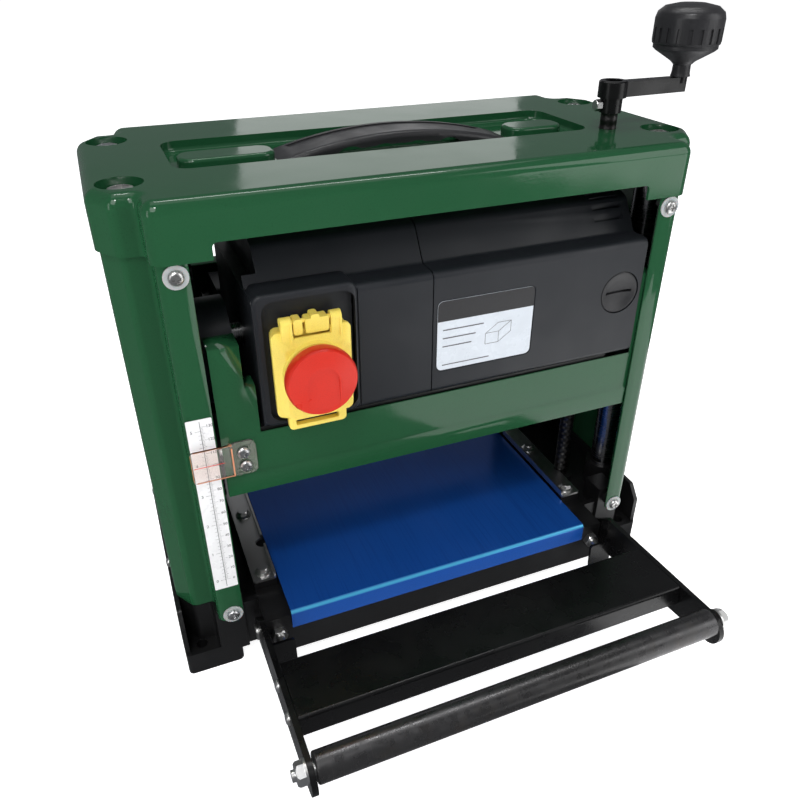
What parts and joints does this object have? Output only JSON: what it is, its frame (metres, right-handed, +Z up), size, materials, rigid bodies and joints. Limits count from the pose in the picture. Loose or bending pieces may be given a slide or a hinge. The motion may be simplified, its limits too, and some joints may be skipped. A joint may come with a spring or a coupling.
{
  "type": "thickness planer",
  "caption": "Benchtop thickness planer with a crank-raised cutter carriage on columns, folding extension tables, safety switch and depth scale.",
  "frame": {"origin": "on the floor, at the centre of the four foot bolt holes", "axes": "+X to the operator's right, +Y from the infeed side to the outfeed side, +Z up"},
  "size_m": [0.439, 0.5066, 0.4468],
  "materials": {
    "green_paint": "gloss enamel",
    "black_paint": "satin powder coat",
    "black_cast": "satin painted casting",
    "blue_film": "gloss protective film",
    "zinc": "bright zinc plate",
    "dark_steel": "dark burnished",
    "bright_steel": "ground",
    "charcoal_plastic": "satin moulded",
    "grip_plastic": "satin moulded",
    "yellow_plastic": "semi-gloss",
    "red_plastic": "semi-gloss",
    "start_green": "semi-gloss",
    "clear_plastic": "clear",
    "label_film": "printed film",
    "scale_film": "printed film",
    "nylon": "moulded",
    "bronze": "sintered",
    "belt_rubber": "matt"
  },
  "bodies": {
    "frame": {"base_casting": "black_cast", "bed_plate": "blue_film", "side_rail_left": "zinc", "side_rail_right": "zinc", "rail_screws": "zinc", "column_front_left": "dark_steel", "column_front_right": "dark_steel", "column_rear_left": "dark_steel", "column_rear_right": "dark_steel", "side_cover_left": "green_paint", "side_cover_right": "green_paint", "top_cover": "green_paint", "top_screws": "zinc", "cover_screws": "zinc", "cover_washers": "nylon", "carry_handle": "grip_plastic", "scale_strip": "scale_film", "height_chain": "dark_steel", "table_bolts": "zinc"},
    "carriage": {"carriage_casting": "black_cast", "guide_bushes": "bronze", "lead_nuts": "bronze", "cutter_bearings": "bright_steel", "front_panel": "green_paint", "rear_panel": "green_paint", "chip_hood": "charcoal_plastic", "motor_body": "black_cast", "motor_cover_left": "charcoal_plastic", "motor_cover_right": "charcoal_plastic", "brush_cap": "grip_plastic", "rating_label": "label_film", "switch_plate": "yellow_plastic", "depth_pointer": "clear_plastic", "pointer_screws": "zinc", "belt_cover": "charcoal_plastic", "drive_belt": "belt_rubber", "cable_gland": "grip_plastic", "kickback_rod": "bright_steel"},
    "crank": {"lead_screw_right": "dark_steel", "crank_arm": "black_paint", "crank_set_screw": "zinc"},
    "knob": {"crank_knob": "grip_plastic"},
    "left_screw": {"lead_screw_left": "dark_steel"},
    "cutter": {"cutter_block": "bright_steel", "cutter_knives": "bright_steel"},
    "rotor": {"motor_rotor": "bright_steel"},
    "infeed_drive": {"infeed_feed_roller": "belt_rubber"},
    "outfeed_drive": {"outfeed_feed_roller": "belt_rubber"},
    "pawls": {"kickback_pawls": "zinc"},
    "flap": {"switch_flap": "yellow_plastic"},
    "stop": {"stop_button": "red_plastic"},
    "start": {"start_button": "start_green"},
    "infeed_table": {"infeed_arms": "black_paint", "infeed_plate": "black_paint", "infeed_fasteners": "zinc"},
    "infeed_bar": {"infeed_bar": "dark_steel"},
    "outfeed_table": {"outfeed_arms": "black_paint", "outfeed_plate": "black_paint", "outfeed_fasteners": "zinc"},
    "outfeed_bar": {"outfeed_bar": "dark_steel"}
  },
  "joints": [
    {"name": "crank_turn", "type": "hinge", "parent": "frame", "child": "crank", "pos_m": [0.151, -0.041, 0.38], "axis": [0, 0, 1], "range_deg": [-16200, 3600]},
    {"name": "carriage_height", "type": "slide", "parent": "frame", "child": "carriage", "axis": [0, 0, 1], "range_m": [-0.09, 0.02]},
    {"name": "left_screw_turn", "type": "hinge", "parent": "frame", "child": "left_screw", "pos_m": [-0.151, 0.041, 0.2], "axis": [0, 0, 1], "range_deg": [-16200, 3600]},
    {"name": "knob_spin", "type": "hinge", "parent": "crank", "child": "knob", "pos_m": [0.209, -0.04, 0.42], "axis": [0, 0, 1], "continuous": true},
    {"name": "cutter_spin", "type": "hinge", "parent": "carriage", "child": "cutter", "pos_m": [0, 0, 0.1846], "axis": [1, 0, 0], "continuous": true},
    {"name": "rotor_spin", "type": "hinge", "parent": "carriage", "child": "rotor", "pos_m": [0, -0.05, 0.2625], "axis": [1, 0, 0], "continuous": true},
    {"name": "infeed_drive_spin", "type": "hinge", "parent": "carriage", "child": "infeed_drive", "pos_m": [0, -0.045, 0.1746], "axis": [1, 0, 0], "continuous": true},
    {"name": "outfeed_drive_spin", "type": "hinge", "parent": "carriage", "child": "outfeed_drive", "pos_m": [0, 0.045, 0.1746], "axis": [1, 0, 0], "continuous": true},
    {"name": "pawl_swing", "type": "hinge", "parent": "carriage", "child": "pawls", "pos_m": [0, -0.084, 0.186], "axis": [1, 0, 0], "range_deg": [0, 26]},
    {"name": "flap_lift", "type": "hinge", "parent": "carriage", "child": "flap", "pos_m": [-0.094, -0.1015, 0.2875], "axis": [-1, 0, 0], "range_deg": [0, 100]},
    {"name": "stop_press", "type": "slide", "parent": "flap", "child": "stop", "axis": [0, 1, 0], "range_m": [0, 0.0035], "stiffness_N_per_m": 400},
    {"name": "start_press", "type": "slide", "parent": "carriage", "child": "start", "axis": [0, 1, 0], "range_m": [0, 0.0025], "stiffness_N_per_m": 400},
    {"name": "infeed_fold", "type": "hinge", "parent": "frame", "child": "infeed_table", "pos_m": [0, -0.103, 0.038], "axis": [-1, 0, 0], "range_deg": [0, 45]},
    {"name": "infeed_bar_spin", "type": "hinge", "parent": "infeed_table", "child": "infeed_bar", "pos_m": [0, -0.24237, 0.06629], "axis": [1, 0, 0], "continuous": true},
    {"name": "outfeed_fold", "type": "hinge", "parent": "frame", "child": "outfeed_table", "pos_m": [0, 0.103, 0.038], "axis": [1, 0, 0], "range_deg": [0, 45]},
    {"name": "outfeed_bar_spin", "type": "hinge", "parent": "outfeed_table", "child": "outfeed_bar", "pos_m": [0, 0.24237, 0.06629], "axis": [1, 0, 0], "continuous": true}
  ],
  "couplings": [
    {"joint": "crank_turn", "follows": "carriage_height", "rad_per_m": 3141.6},
    {"joint": "left_screw_turn", "follows": "carriage_height", "rad_per_m": 3141.6},
    {"joint": "rotor_spin", "follows": "cutter_spin", "ratio": 0.77778},
    {"joint": "infeed_drive_spin", "follows": "cutter_spin", "ratio": -0.05},
    {"joint": "outfeed_drive_spin", "follows": "cutter_spin", "ratio": -0.05}
  ]
}
